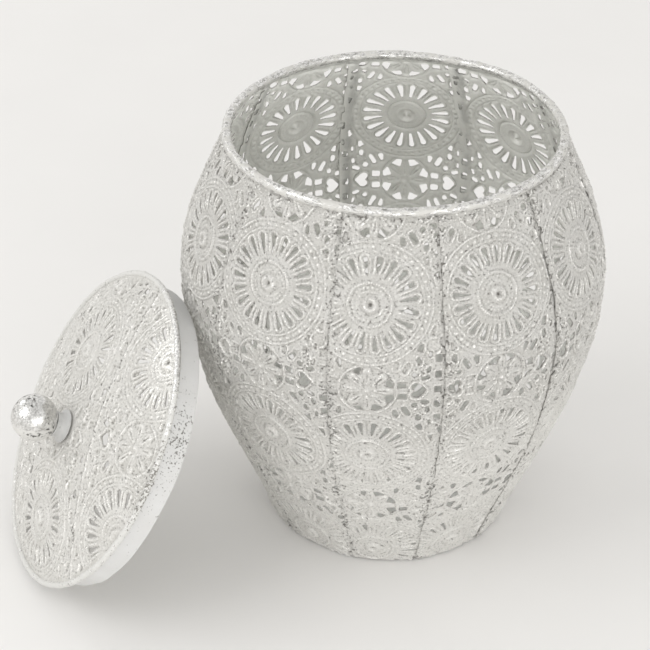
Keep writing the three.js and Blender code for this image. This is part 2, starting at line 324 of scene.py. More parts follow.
def hand_pressed(s, t, seed, clogged, clogged_slots):
    """The pattern as hand work leaves it: a little crooked, with holes of uneven size.

    clogged is the share of the small holes that the wash has filled, and clogged_slots that of the
    medallions' slots. Filled ones show as dimples. The wash also narrows the open slots.
    """
    crooked_s = s + 0.3 * noise(s, t, 9.0, seed) + 0.1 * noise(s, t, 1.9, seed + 1)
    crooked_t = t + 0.3 * noise(s, t, 9.0, seed + 2) + 0.1 * noise(s, t, 1.9, seed + 3)
    slots, corners, height = pattern(crooked_s, crooked_t)
    filled = clogging(s, t, 7.5, seed + 10, clogged)
    filled_slots = clogging(s, t, 10.0, seed + 14, clogged_slots)
    narrowed = min(0.75 * clogged, 0.36)
    holes = np.minimum(slots + narrowed + 4 * filled_slots, corners + 3 * filled)
    holes = holes + 0.14 * noise(s, t, 2.6, seed + 4)
    height = height - 0.4 * filled * smooth_step(-corners, -0.3, 0.5)
    height = height - 0.4 * filled_slots * smooth_step(-slots, -0.1, 0.6)
    height = EMBOSSING * height * (0.9 + 0.22 * noise(s, t, 4.5, seed + 5))
    return holes, height


def crest(s, t, height_at):
    """How far the embossing stands over what is round it: above 0 on ridges, below 0 beside them."""
    reach = 0.75
    steps = ((reach, 0), (-reach, 0), (0, reach), (0, -reach))
    around = [height_at(s + across, t + up) for across, up in steps]
    return height_at(s, t) - sum(around) / len(steps)


def dents(s, t, seed):
    """Shallow dents and hammer marks."""
    broad = 0.28 * noise(s, t, 17.0, seed + 6)
    return broad + 0.09 * noise(s, t, 3.1, seed + 7) + 0.045 * noise(s, t, 1.4, seed + 8)


# -------- meshes

def cell_corners(grid):
    """The values at the four corners of each cell, in order round it."""
    return [grid[:-1, :-1], grid[:-1, 1:], grid[1:, 1:], grid[1:, :-1]]


def cut_grid(s, t, field):
    """Grid points drawn onto the line where the field is 0, and the cells where it is over 0.

    Returns the moved s and t, and the cells as quads and triangles of point numbers.
    """
    reach = 0.52  # points closer to the line than this share of a cell are drawn onto it
    least_steep = 0.05  # the square of the slope under which the field has no clear edge
    step = s[0, 1] - s[0, 0]
    value = field(s, t)
    slope_t, slope_s = np.gradient(value, step)
    steep = slope_s ** 2 + slope_t ** 2
    near = (np.abs(value) < reach * step * np.sqrt(steep)) & (steep > least_steep)
    shift = np.where(near, value / np.maximum(steep, least_steep), 0)
    kept = near | (value > 0)
    s, t = s - shift * slope_s, t - shift * slope_t
    ring = cell_corners(np.arange(s.size).reshape(s.shape))
    held = cell_corners(kept)
    count = sum(h.astype(int) for h in held)
    quads = np.stack([r[count == 4] for r in ring], 1)
    triangles = []
    for k in range(4):
        lost = (count == 3) & ~held[k]
        triangles.append(np.stack([ring[(k + m) % 4][lost] for m in (1, 2, 3)], 1))
    return s, t, quads, np.concatenate(triangles)


def open_edges(quads, triangles):
    """The edges that only one face uses, each in the direction that its face runs."""
    pairs = [quads[:, [k, (k + 1) % 4]] for k in range(4)]
    pairs += [triangles[:, [k, (k + 1) % 3]] for k in range(3)]
    pairs = np.concatenate(pairs)
    _, first, count = np.unique(np.sort(pairs, 1), axis=0, return_index=True, return_counts=True)
    return pairs[first[count == 1]]


def mesh_object(name, points, quads, triangles=None, smooth_angle=50):
    """A Blender object from points in millimetres and faces of point numbers."""
    triangles = np.zeros((0, 3), int) if triangles is None else triangles
    mesh = bpy.data.meshes.new(name)
    mesh.vertices.add(len(points))
    mesh.vertices.foreach_set("co", (np.asarray(points, float) * 0.001).ravel())
    corners = np.concatenate([quads.ravel(), triangles.ravel()])
    starts = [4 * np.arange(len(quads)), 4 * len(quads) + 3 * np.arange(len(triangles))]
    starts = np.concatenate(starts)
    mesh.loops.add(len(corners))
    mesh.loops.foreach_set("vertex_index", corners)
    mesh.polygons.add(len(starts))
    mesh.polygons.foreach_set("loop_start", starts)
    mesh.update(calc_edges=True)
    mesh.validate()
    mesh.shade_smooth()
    mesh.set_sharp_from_angle(angle=math.radians(smooth_angle))
    made = bpy.data.objects.new(name, mesh)
    bpy.context.collection.objects.link(made)
    return made


def store(made, name, values):
    """Keeps one number for each point, which a material reads by name."""
    layer = made.data.attributes.new(name, "FLOAT", "POINT")
    layer.data.foreach_set("value", np.asarray(values, float).ravel())


def pressed_sheet(name, s, t, field, place, outside, inside):
    """A pierced sheet of metal with both its skins and the walls of its holes.

    For points of the flat sheet, field gives the distance to the nearest edge, and place gives the front
    points, the back points, and the marks that the materials read:

    crest: how far the embossing stands over what is round it
    seam: 1 at a seam, 0 away from it; also raised just under the rim wire for a painted shadow line, and
    at the lid's chipped place
    edge: distance to the nearest edge, 3 at most; on the gores also to a line just under the rim wire,
    which is painted as shade
    rubbed: how far the wash is worn down to bright metal, with a painted glint on it
    deep: 1 low in the jar, where painted light brightens the sheet's back
    thick: how much thicker the wash is
    """
    s, t, quads, triangles = cut_grid(s, t, field)
    used, compact = np.unique(np.concatenate([quads.ravel(), triangles.ravel()]), return_inverse=True)
    quads = compact[: quads.size].reshape(-1, 4)
    triangles = compact[quads.size:].reshape(-1, 3)
    s, t = s.ravel()[used], t.ravel()[used]
    front, back, marks = place(s, t)
    marks["edge"] = np.clip(np.minimum(field(s, t), marks["edge"]), 0, 3)
    count = len(used)
    rims = open_edges(quads, triangles)
    walls = np.stack([rims[:, 1], rims[:, 0], rims[:, 0] + count, rims[:, 1] + count], 1)
    all_quads = np.concatenate([quads, quads[:, ::-1] + count, walls])
    all_triangles = np.concatenate([triangles, triangles[:, ::-1] + count])
    made = mesh_object(name, np.concatenate([front, back]), all_quads, all_triangles)
    slots = np.zeros(len(all_quads) + len(all_triangles), int)
    slots[len(quads): 2 * len(quads)] = 1
    slots[len(all_quads) + len(triangles):] = 1
    for mark, values in marks.items():
        store(made, mark, np.tile(values, 2))
    made.data.materials.append(outside)
    made.data.materials.append(inside)
    made.data.polygons.foreach_set("material_index", slots)
    return made


def circle(steps):
    """Evenly spaced angles, once round."""
    return np.linspace(0, 2 * math.pi, steps, endpoint=False)


def wire_section(centre, height, radius, steps):
    """A ring of round wire's cross-section, as points (radius, height)."""
    return [(centre + radius * math.cos(a), height + radius * math.sin(a)) for a in circle(steps)]


def turned_surface(name, profile, steps, wobble, material, smooth_angle=50):
    """A closed profile of (radius, height) points turned about Z.

    wobble(turn, radius, height) says how far out and how far up each point moves.
    """
    profile = np.asarray(profile, float)
    turn, radius = np.meshgrid(circle(steps), profile[:, 0], indexing="ij")
    height = np.tile(profile[:, 1], (steps, 1))
    out, up = wobble(turn, radius, height)
    radius, height = radius + out, height + up
    points = np.stack([radius * np.cos(turn), radius * np.sin(turn), height], -1).reshape(-1, 3)
    numbers = np.arange(steps * len(profile)).reshape(steps, len(profile))
    following = np.roll(numbers, -1, 0)
    ring = [numbers, following, np.roll(following, -1, 1), np.roll(numbers, -1, 1)]
    quads = np.stack(ring, -1).reshape(-1, 4)
    made = mesh_object(name, points, quads, None, smooth_angle)
    made.data.materials.append(material)
    return made


# -------- the jar's wall

def bezier(points, count):
    """Points along a cubic curve."""
    u = np.linspace(0, 1, count)[:, None]
    a, b, c, d = (np.array(p, float) for p in points)
    return (1 - u) ** 3 * a + 3 * u * (1 - u) ** 2 * b + 3 * u * u * (1 - u) * c + u ** 3 * d


def jar_profile():
    """Points (radius, height) up the jar's outer face, and each one's distance along it."""
    lower, upper = BELLY_HEIGHT / 3, (BODY_HEIGHT - BELLY_HEIGHT) / 3
    flank = bezier([
        (FOOT_RADIUS, 0),
        (FOOT_RADIUS + FOOT_FLARE * lower, lower),
        (BELLY_RADIUS, BELLY_HEIGHT - 1.1 * lower),
        (BELLY_RADIUS, BELLY_HEIGHT),
    ], 500)
    shoulder = bezier([
        (BELLY_RADIUS, BELLY_HEIGHT),
        (BELLY_RADIUS, BELLY_HEIGHT + upper),
        (MOUTH_RADIUS + MOUTH_TAPER * upper, BODY_HEIGHT - upper),
        (MOUTH_RADIUS, BODY_HEIGHT),
    ], 300)
    points = np.concatenate([flank, shoulder[1:]])
    steps = np.hypot(*np.diff(points, axis=0).T)
    return points, np.concatenate([[0], np.cumsum(steps)])


PROFILE, PROFILE_LENGTH = jar_profile()
PROFILE_SLOPE = np.gradient(PROFILE, PROFILE_LENGTH, axis=0)


def along_profile(t, values):
    """The value t up the wall, from one value for each point of the profile."""
    return np.interp(t, PROFILE_LENGTH, values)


def wall_point(turn, t, out):
    """The point at a turn from -Y towards +X, t up the wall, and out from the jar's outer face."""
    radius = along_profile(t, PROFILE[:, 0]) + out * along_profile(t, PROFILE_SLOPE[:, 1])
    height = along_profile(t, PROFILE[:, 1]) - out * along_profile(t, PROFILE_SLOPE[:, 0])
    return np.stack([radius * np.sin(turn), -radius * np.cos(turn), height], -1)


def gore(index, outside, inside):
    """One gore: its left edge lies over the gore before it, and its right margin under the next."""
    start = math.radians(FIRST_SEAM + sum(GORE_WIDTHS[:index]))
    end = start + math.radians(GORE_WIDTHS[index])
    column, rise, clogged = GORE_COLUMNS[index]
    column = math.radians(column)
    centre = FIRST_MEDALLION + rise
    top = PROFILE_LENGTH[-1] - TOP_GAP
    seed = 100 + 20 * index

    def sides(s, t):
        """Distances in from the left edge, and in from the seam on the right."""
        radius = along_profile(t, PROFILE[:, 0])
        turn = column + s / radius
        ragged = 0.3 * line_noise(t, 6.0, seed + 9) + 0.13 * line_noise(t, 1.7, seed + 12)
        return (turn - start) * radius + ragged, (end - turn) * radius

    def pressed(s, t):
        low = smooth_step(centre - t, -22, -4)
        return hand_pressed(s, t - centre, seed, clogged, 1.5 * clogged * low)

    def thick_wash(t):
        return smooth_step(centre - t, -30, 20)

    def height_at(s, t):
        return pressed(s, t)[1] * (1 - 0.3 * thick_wash(t))

    def field(s, t):
        left, right = sides(s, t)
        at_end = np.minimum(t - FOOT_GAP, top - t)
        holes = np.where((t < PLAIN_FOOT) | (t > top - PLAIN_TOP), UNPIERCED, pressed(s, t)[0])
        return np.minimum.reduce([holes, left, right + LAP, at_end])

    def place(s, t):
        left, right = sides(s, t)
        flattened = 0.25 + 0.75 * smooth_step(right, -0.3, 2.6)
        flattened = flattened * (0.45 + 0.55 * smooth_step(left, 0.3, 2.2))
        folded = 0.55 * ridge(t - (top - 3.0), 0.55)
        height = height_at(s, t) * flattened * smooth_step(top - t, 2.4, 4.2) + folded
        across = np.clip(left / np.maximum(left + right, 1e-6), 0, 1)
        faceted = -FACETING * (1 - 4 * (across - 0.5) ** 2)
        gaping = LAP_DROP * (1 - 0.2 * thick_wash(t) + 0.35 * line_noise(t, 9.0, seed + 11))
        drop = gaping * smooth_step(-right, -LAP_BEND, -0.1)
        out = faceted + height - FACE_DEPTH - drop + dents(s, t, seed) * flattened
        turn = column + s / along_profile(t, PROFILE[:, 0])
        seam = ridge(np.minimum(np.abs(left), np.abs(right)), 2.6)
        marks = {
            "crest": crest(s, t, height_at) * flattened,
            # Just under the rim wire the seam and edge marks rise for a painted shadow line: more dark
            # pits and patchy painted shade.
            "seam": np.maximum(seam, ridge(top - 1.6 - t, 1.2)),
            "edge": top - t - 1.7,
            "rubbed": 0 * t,
            # Painted light on the sheet's back, low in the jar.
            "deep": smooth_step(-t, -105, -55),
            "thick": thick_wash(t),
        }
        return wall_point(turn, t, out), wall_point(turn, t, out - GAUGE), marks

    widest = BELLY_RADIUS + 1
    low, high = (start - column) * widest - 1, (end - column) * widest + LAP + 1
    s, t = np.meshgrid(np.arange(low, high, GRID), np.arange(-GRID, top + 2 * GRID, GRID))
    node = f"gore_{index + 1:02d}"
    made = pressed_sheet(f"pressed_{node}", s, t, field, place, outside, inside)
    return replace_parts(made, node)


def rim_wire(material):
    """The mouth's hammered wire, with the sheet rolled over it."""
    def wobble(turn, radius, height):
        along, round_it = turn * RIM_RADIUS, np.arctan2(height - BODY_HEIGHT, radius - RIM_RADIUS)
        beaten = 0.2 * noise(along, round_it * 2, 3.2, 901) - 0.05
        beaten += 0.09 * noise(along, round_it * 2, 1.1, 902)
        wave = 0.35 * line_noise(along, 31.0, 903)
        return beaten * np.cos(round_it) + wave, beaten * np.sin(round_it) + 0.5 * wave

    section = wire_section(RIM_RADIUS, BODY_HEIGHT, RIM_WIRE_RADIUS, 28)
    made = turned_surface("hammered_rim", section, WIRE_STEPS, wobble, material)
    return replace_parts(made, "rim_wire")


def base_plate(material):
    """The floor of the jar: a thin disc, a little uneven."""
    radii = np.linspace(0.4, BASE_RADIUS - 0.25, 90)
    top = [(r, BASE_THICKNESS) for r in radii]
    bottom = [(r, 0.0) for r in radii[::-1]]
    rim = [(BASE_RADIUS, BASE_THICKNESS * f) for f in (0.8, 0.5, 0.2)]

    def wobble(turn, radius, height):
        x, y = radius * np.cos(turn), radius * np.sin(turn)
        lift = 0.12 * noise(x, y, 14.0, 911) + 0.03 * noise(x, y, 2.4, 912)
        return 0 * radius, np.where(height > 0.9, lift, np.abs(lift) * 0.6)

    made = turned_surface("beaten_base", top + rim + bottom, 240, wobble, material)
    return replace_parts(made, "base_plate")


# -------- the lid

LEAN = math.radians(LID_LEAN)
LID_TURN = LEAN - math.pi / 2
LID_OUT = BELLY_RADIUS + LEAN_GAP + SKIRT_DEPTH * math.cos(LEAN) + SKIRT_RADIUS * math.sin(LEAN)
LID_UP = LEAN_GAP + SKIRT_DEPTH * math.sin(LEAN) + SKIRT_RADIUS * math.cos(LEAN)


def lean(made, offset=0.0):
    """Moves a mesh from the lid's own frame to where the lid leans, offset further down its slope."""
    count = len(made.data.vertices)
    flat = np.empty(count * 3)
    made.data.vertices.foreach_get("co", flat)
    x, y, z = flat.reshape(-1, 3).T
    x = x - offset * 0.001
    c, s = math.cos(LID_TURN), math.sin(LID_TURN)
    moved = np.stack([x * c + z * s - LID_OUT * 0.001, y, z * c - x * s + LID_UP * 0.001], -1)
    made.data.vertices.foreach_set("co", moved.ravel())
    made.data.update()
    return made


def dome_height(radius):
    """Height of the dome's face over the lid's rim."""
    return LID_RISE * (1 - (radius / LID_RADIUS) ** 2)


def on_dome(x, y, up):
    """The points that stand up from the dome's face at x, y in the lid's own frame."""
    slope = 2 * LID_RISE / LID_RADIUS ** 2
    radius = np.hypot(x, y)
    tilt = np.stack([slope * x, slope * y, np.ones_like(x)], -1)
    tilt = tilt / np.sqrt(1 + (slope * radius) ** 2)[:, None]
    return np.stack([x, y, dome_height(radius)], -1) + tilt * up[:, None]


def worn(turn, place):
    """1 at a worn place on the lid, fading away from it."""
    middle, spread = place
    return ridge(wrapped(turn - math.radians(middle), 2 * math.pi), spread)


def lid_panel(width, outside, inside):
    """The wide panel of the dome, whose margin lies under the seam, or the narrow one on top of it.

    x is the distance from the lid's centre towards the seam.
    """
    (middle_x, middle_y), clogged_slots, seed = LID_PANELS[width]
    under = width == "wide"
    turn = math.radians(LID_SEAM_TURN)
    reach = LID_RADIUS - LID_PANEL_GAP
    low, high = (-reach, LID_SEAM_OFFSET + LAP) if under else (LID_SEAM_OFFSET, reach)
    ridge_line = LID_SEAM_OFFSET + LID_RIDGE_OFFSET

    def from_knob(x, y):
        return np.hypot(x + KNOB_OFFSET * math.cos(turn), y - KNOB_OFFSET * math.sin(turn))

    def pressed(x, y):
        return hand_pressed(x - middle_x, y - middle_y, seed, LID_CLOGGED, clogged_slots)

    def height_at(x, y):
        return pressed(x, y)[1]

    def field(x, y):
        from_edge = reach - np.hypot(x, y)
        plain = (from_edge < LID_PLAIN_EDGE) | (from_knob(x, y) < COLLAR_FOOT_RADIUS + 0.6)
        holes = np.where(plain, UNPIERCED, pressed(x, y)[0])
        return np.minimum.reduce([holes, from_edge, x - low, high - x])

    def place(x, y):
        radius = np.hypot(x, y)
        calm = smooth_step(-radius, -67.0, -65.2) * smooth_step(from_knob(x, y), 8.2, 9.6)
        calm = calm * (0.3 + 0.7 * smooth_step(np.abs(x - LID_SEAM_OFFSET), 0.6, 3.4))
        height = height_at(x, y) * calm + 0.13 * noise(x, y, 1.9, seed + 13) * calm
        if under:
            height = height - LAP_DROP * smooth_step(x, LID_SEAM_OFFSET - LAP_BEND, LID_SEAM_OFFSET - 0.1)
        else:
            height = height + 0.45 * ridge(x - ridge_line, 0.5)
        up = height - FACE_DEPTH + dents(x, y, seed) * (0.3 + 0.7 * calm)
        around = np.arctan2(y, x) + turn
        outer = smooth_step(radius, 46.0, 66.0)
        # The ridge by the seam and the step beside it, added to the crest mark, which the material paints
        # as highlight and shade.
        seam_crest = 0.4 * ridge(x - ridge_line, 0.5) - 0.3 * ridge(x - LID_SEAM_OFFSET + 0.5, 0.5)
        marks = {
            "crest": crest(x, y, height_at) * calm + seam_crest,
            "seam": ridge(x - LID_SEAM_OFFSET, 2.2) + 0.9 * worn(around, EDGE_CHIPS) * outer,
            "edge": UNPIERCED,
            # Worn places rubbed to bright silver, which the material also paints as a glint.
            "rubbed": 0.05 + worn(around, EDGE_RUBBING_AND_GLINT) * outer,
            "deep": 0 * x,
            "thick": 0 * x,
        }
        return spun(on_dome(x, y, up), turn), spun(on_dome(x, y, up - GAUGE), turn), marks

    x, y = np.meshgrid(np.arange(low - 1, high + 1, GRID), np.arange(-reach - 1, reach + 1, GRID))
    made = pressed_sheet(f"pressed_lid_{width}", x, y, field, place, outside, inside)
    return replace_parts(lean(made), f"lid_panel_{width}")


def spun(points, turn):
    """Points turned about Z."""
    x, y, z = points.T
    c, s = math.cos(turn), math.sin(turn)
    return np.stack([x * c - y * s, x * s + y * c, z], -1)


def lid_edge(material):
    """The lid's rolled edge, beaten and chipped."""
    centre = LID_RADIUS - LID_EDGE_RADIUS

    def wobble(turn, radius, height):
        along, round_it = turn * centre, np.arctan2(height, radius - centre)
        beaten = 0.16 * noise(along, round_it * 1.3, 2.6, 921)
        beaten += 0.08 * noise(along, round_it * 1.3, 1.0, 922)
        wave = 0.22 * line_noise(along, 24.0, 923)
        return beaten * np.cos(round_it) + wave, beaten * np.sin(round_it) + wave

    section = wire_section(centre, 0.0, LID_EDGE_RADIUS, 22)
    made = turned_surface("beaten_lid_edge", section, WIRE_STEPS, wobble, material)
    turn = np.repeat(circle(WIRE_STEPS), len(section))
    store(made, "chipped", worn(turn, EDGE_CHIPS))
    # Worn places rubbed to bright silver, which the material also paints as a glint.
    store(made, "rubbed", worn(turn, EDGE_RUBBING_AND_GLINT))
    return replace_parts(lean(made), "lid_edge")


def lid_skirt(material):
    """The plain band under the lid that goes inside the mouth, with a turned lip and a lapped joint."""
    top = dome_height(SKIRT_RADIUS) - SHEET - 0.2
    outer, inner = SKIRT_RADIUS, SKIRT_RADIUS - GAUGE
    rise = np.linspace(-SKIRT_DEPTH + 0.9, top, 26)
    lip = [(inner - 0.25, -SKIRT_DEPTH + 0.5), (inner + 0.05, -SKIRT_DEPTH + 0.1)]
    lip += [(outer - 0.15, -SKIRT_DEPTH), (outer + 0.02, -SKIRT_DEPTH + 0.35)]
    section = lip + [(outer, z) for z in rise] + [(inner, z) for z in rise[::-1]]

    def wobble(turn, radius, height):
        along = turn * SKIRT_RADIUS
        wave = 0.4 * noise(along, height, 23.0, 931)
        wave += 0.06 * noise(along, height, 3.0, 932)
        joint = 0.45 * smooth_step(turn, SKIRT_JOINT, SKIRT_JOINT + 0.01)
        joint = joint * smooth_step(-turn, -SKIRT_JOINT - 0.18, -SKIRT_JOINT - 0.1)
        free = smooth_step(-height, -0.2, 4.0)
        return wave * free + joint, 0.25 * line_noise(along, 15.0, 933) * free

    made = turned_surface("plain_skirt", section, SKIRT_STEPS, wobble, material)
    turn = np.repeat(circle(SKIRT_STEPS), len(section))
    store(made, "chipped", worn(turn, SKIRT_CHIPS) + 0.7 * worn(turn, SKIRT_FAINT_CHIPS))
    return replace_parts(lean(made), "lid_skirt")


def under_ball(radius):
    """Height of the ball's underside at a distance from the knob's axis."""
    return LID_RISE + BALL_SEAT + BALL_RADIUS - math.sqrt(BALL_RADIUS ** 2 - radius ** 2)


def knob_collar(material):
    """The spun cup under the ball: a flange, a hollow cone and a rolled lip."""
    foot = LID_RISE + PIECE_GAP
    lip = under_ball(COLLAR_LIP_RADIUS) - PIECE_GAP
    outer = bezier([
        (COLLAR_FOOT_RADIUS, foot + 0.5),
        (COLLAR_FOOT_RADIUS - 1.8, foot + 1.1),
        (COLLAR_LIP_RADIUS - 0.9, lip - 2.6),
        (COLLAR_LIP_RADIUS, lip - 0.3),
    ], 24)
    section = [(SCREW_HOLE_RADIUS, foot), (COLLAR_FOOT_RADIUS - 0.3, foot)]
    section += [(COLLAR_FOOT_RADIUS, foot + 0.2)] + [tuple(p) for p in outer]
    section += [(COLLAR_LIP_RADIUS - 0.1, lip - 0.05), (COLLAR_LIP_RADIUS - 0.4, lip - 0.1)]
    for radius in np.linspace(COLLAR_LIP_RADIUS - 0.8, SCREW_HOLE_RADIUS, 8):
        section.append((radius, under_ball(radius) - PIECE_GAP))

    def wobble(turn, radius, height):
        rough = 0.05 * noise(turn * 7, height * 2, 1.6, 941)
        return rough, 0 * rough

    made = turned_surface("spun_collar", section, 160, wobble, material)
    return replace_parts(lean(made, KNOB_OFFSET), "knob_collar")


def knob_ball(material):
    """The silvered ball, slightly dented, with the screw's hole in its underside."""
    centre = LID_RISE + BALL_SEAT + BALL_RADIUS
    mouth = math.asin(SCREW_HOLE_RADIUS / BALL_RADIUS)
    hole_top = centre - BALL_RADIUS + SCREW_HOLE_DEPTH
    tilts = np.linspace(mouth, math.pi - 0.004, 90)
    section = [(0.05, hole_top), (SCREW_HOLE_RADIUS, hole_top)]
    section += [(BALL_RADIUS * math.sin(a), centre - BALL_RADIUS * math.cos(a)) for a in tilts]

    def wobble(turn, radius, height):
        x, y = radius * np.cos(turn), radius * np.sin(turn)
        outside = np.abs(np.hypot(radius, height - centre) - BALL_RADIUS) < 0.01
        dent = 0.1 * noise(x + height, y - height, 5.0, 951)
        dent += 0.035 * noise(x + 0.6 * height, y + 0.8 * height, 1.5, 952)
        dent = np.where(outside, dent / BALL_RADIUS, 0)
        return dent * radius, dent * (height - centre)

    made = turned_surface("silvered_ball", section, 180, wobble, material, 40)
    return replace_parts(lean(made, KNOB_OFFSET), "knob_ball")


# -------- materials

class Finish:
    """A material's node tree, built up from its Principled shader."""

    def __init__(self, name):
        self.material = bpy.data.materials.new(name)
        self.material.use_nodes = True
        self.tree = self.material.node_tree
        self.shader = self.tree.nodes["Principled BSDF"]
        self.place = self.tree.nodes.new("ShaderNodeTexCoord").outputs["Object"]

    def join(self, value, socket):
        """Feeds a socket from another node's output, or sets it."""
        if isinstance(value, bpy.types.NodeSocket):
            self.tree.links.new(value, socket)
        else:
            socket.default_value = value

    def noise(self, size, detail=2.0, roughness=0.5, distortion=0.0, flatness=1.0):
        """Cloudy noise with lumps about size millimetres across, and flatness times less high."""
        squash = self.tree.nodes.new("ShaderNodeVectorMath")
        squash.operation = "MULTIPLY"
        self.join(self.place, squash.inputs[0])
        squash.inputs[1].default_value = (1, 1, flatness)
        node = self.tree.nodes.new("ShaderNodeTexNoise")
        self.join(squash.outputs[0], node.inputs["Vector"])
        inputs = ("Scale", "Detail", "Roughness", "Distortion")
        for socket, value in zip(inputs, (1000 / size, detail, roughness, distortion)):
            node.inputs[socket].default_value = value
        return node.outputs["Fac"]

    def stored(self, name):
        """A number kept on the mesh's points."""
        node = self.tree.nodes.new("ShaderNodeAttribute")
        node.attribute_name = name
        return node.outputs["Fac"]

    def ramp(self, value, *stops):
        """Turns a number into a grey or a colour, given (position, grey or colour) stops."""
        node = self.tree.nodes.new("ShaderNodeValToRGB")
        self.join(value, node.inputs["Fac"])
        ramp = node.color_ramp
        while len(ramp.elements) < len(stops):
            ramp.elements.new(0.5)
        for element, (position, colour) in zip(ramp.elements, stops):
            element.position = position
            if isinstance(colour, (int, float)):
                colour = (colour, colour, colour)
            element.color = (*colour, 1)
        return node.outputs["Color"]

    def maths(self, operation, a, b, clamp=False):
        """The result of a sum on two numbers, either of which may vary over the surface."""
        node = self.tree.nodes.new("ShaderNodeMath")
        node.operation = operation
        node.use_clamp = clamp
        self.join(a, node.inputs[0])
        self.join(b, node.inputs[1])
        return node.outputs[0]

    def plus(self, a, b):
        return self.maths("ADD", a, b)

    def times(self, a, b):
        return self.maths("MULTIPLY", a, b)

    def mix(self, amount, first, second):
        """A blend of two colours."""
        node = self.tree.nodes.new("ShaderNodeMix")
        node.data_type = "RGBA"
        self.join(amount, node.inputs["Factor"])
        sockets = [s for s in node.inputs if s.type == "RGBA"]
        for value, socket in zip((first, second), sockets):
            self.join((*value, 1) if isinstance(value, tuple) else value, socket)
        return [s for s in node.outputs if s.type == "RGBA"][0]

    def bump(self, height, strength, depth):
        """Fine relief of the given depth in millimetres."""
        node = self.tree.nodes.new("ShaderNodeBump")
        node.inputs["Strength"].default_value = strength
        node.inputs["Distance"].default_value = depth * 0.001
        self.join(height, node.inputs["Height"])
        self.join(node.outputs["Normal"], self.shader.inputs["Normal"])

    def finish(self, colour, metallic, roughness):
        """Sets or feeds the shader's main sockets, and hands over the material."""
        self.join(colour, self.shader.inputs["Base Color"])
        self.join(metallic, self.shader.inputs["Metallic"])
        self.join(roughness, self.shader.inputs["Roughness"])
        return self.material


def washed_silver(name, wash, pitting):
    """White wash over silvered steel with dark pits: bright on the embossing, partly as silver rubbed
    bare and partly as a painted highlight with painted glints, and darker beside it as painted shade.

    wash is the grey of the wash where it is thick, and pitting how far it is eaten by pits.
    """
    look = Finish(name)
    grain = look.noise(0.75, 3.0, 0.7)
    patches = look.noise(11.0, 4.0, 0.6, 0.4)
    # Rubbed places: more bare metal, painted brighter as a glint.
    rubbed = look.times(look.stored("rubbed"), 0.35)
    # The grain added to the crest mark scatters small painted glints and painted dark flecks.
    ripple = look.times(look.maths("SUBTRACT", grain, 0.5), 1.9)
    ripple = look.plus(look.stored("crest"), ripple)
    # Bright: silver rubbed bare on the embossing, with a painted highlight and painted glints on it.
    bright = look.ramp(look.plus(ripple, rubbed), (0.16, 0.0), (0.4, 1.0))
    # Hollow: painted shade in the hollows beside the embossing.
    hollow = look.ramp(look.times(ripple, -1.0), (0.12, 0.0), (0.42, 1.0))
    thin = 0.86 * wash
    paint = look.ramp(
        patches, (0.3, (thin, 0.98 * thin, 0.925 * thin)), (0.7, (wash, 0.985 * wash, 0.945 * wash)))
    paint = look.mix(look.times(look.stored("thick"), 0.85), paint, (0.66, 0.65, 0.62))
    # Painted shade beside the embossing.
    paint = look.mix(look.times(hollow, 0.85), paint, (0.38 * wash, 0.365 * wash, 0.335 * wash))
    # Painted highlight and rubbed silver on the embossing.
    colour = look.mix(bright, paint, (0.89, 0.88, 0.85))
    specks = look.plus(look.noise(1.3, 3.0, 0.7), look.times(patches, 0.14))
    specks = look.plus(specks, look.times(look.stored("seam"), 0.08))
    pits = look.ramp(specks, (0.74 - pitting, 0.0), (0.78 - pitting, 0.9))
    # Dark grime along edges, and a patchy painted shadow line under the rim wire.
    crevice = look.ramp(look.stored("edge"), (0.0, 1.0), (0.3, 0.0))
    grime_and_rim_shade = look.times(crevice, look.ramp(patches, (0.42, 0.0), (0.62, 0.45)))
    grime_and_rim_shade = look.maths("MAXIMUM", grime_and_rim_shade, pits)
    colour = look.mix(grime_and_rim_shade, colour, (0.14, 0.13, 0.115))
    silver = look.maths("ADD", look.ramp(patches, (0.35, 0.3), (0.6, 0.9)), rubbed, True)
    shine = look.times(bright, silver)
    roughness = look.ramp(shine, (0.0, 0.55), (0.8, 0.2))
    look.bump(look.plus(grain, look.times(pits, -0.8)), 1.0, 0.45)
    return look.finish(colour, shine, roughness)


def inner_steel():
    """The sheet's back: dull silver grey with darker stains, painted shade in its hollows, and painted
    light low in the jar.
    """
    look = Finish("inner_steel")
    grain = look.noise(1.1, 3.0, 0.6)
    stains = look.noise(14.0, 4.0, 0.6, 0.6)
    tone = look.plus(look.times(stains, 0.75), look.times(grain, 0.25))
    colour = look.ramp(tone, (0.33, (0.73, 0.73, 0.695)), (0.66, (0.87, 0.87, 0.835)))
    # Painted light: the back lighter low in the jar, where little light reaches.
    colour = look.mix(look.stored("deep"), colour, (0.92, 0.92, 0.9))
    shade = look.times(look.stored("seam"), look.ramp(stains, (0.4, 0.25), (0.6, 1.0)))
    shade = look.ramp(shade, (0.15, 0.0), (0.9, 0.55))
    colour = look.mix(shade, colour, (0.36, 0.36, 0.345))
    # Painted shade in the back's hollows, which lie under the front's ridges.
    hollow = look.ramp(look.stored("crest"), (0.1, 0.0), (0.5, 0.4))
    colour = look.mix(hollow, colour, (0.45, 0.45, 0.42))
    roughness = look.ramp(stains, (0.3, 0.42), (0.7, 0.6))
    look.bump(grain, 0.5, 0.1)
    return look.finish(colour, 0.2, roughness)


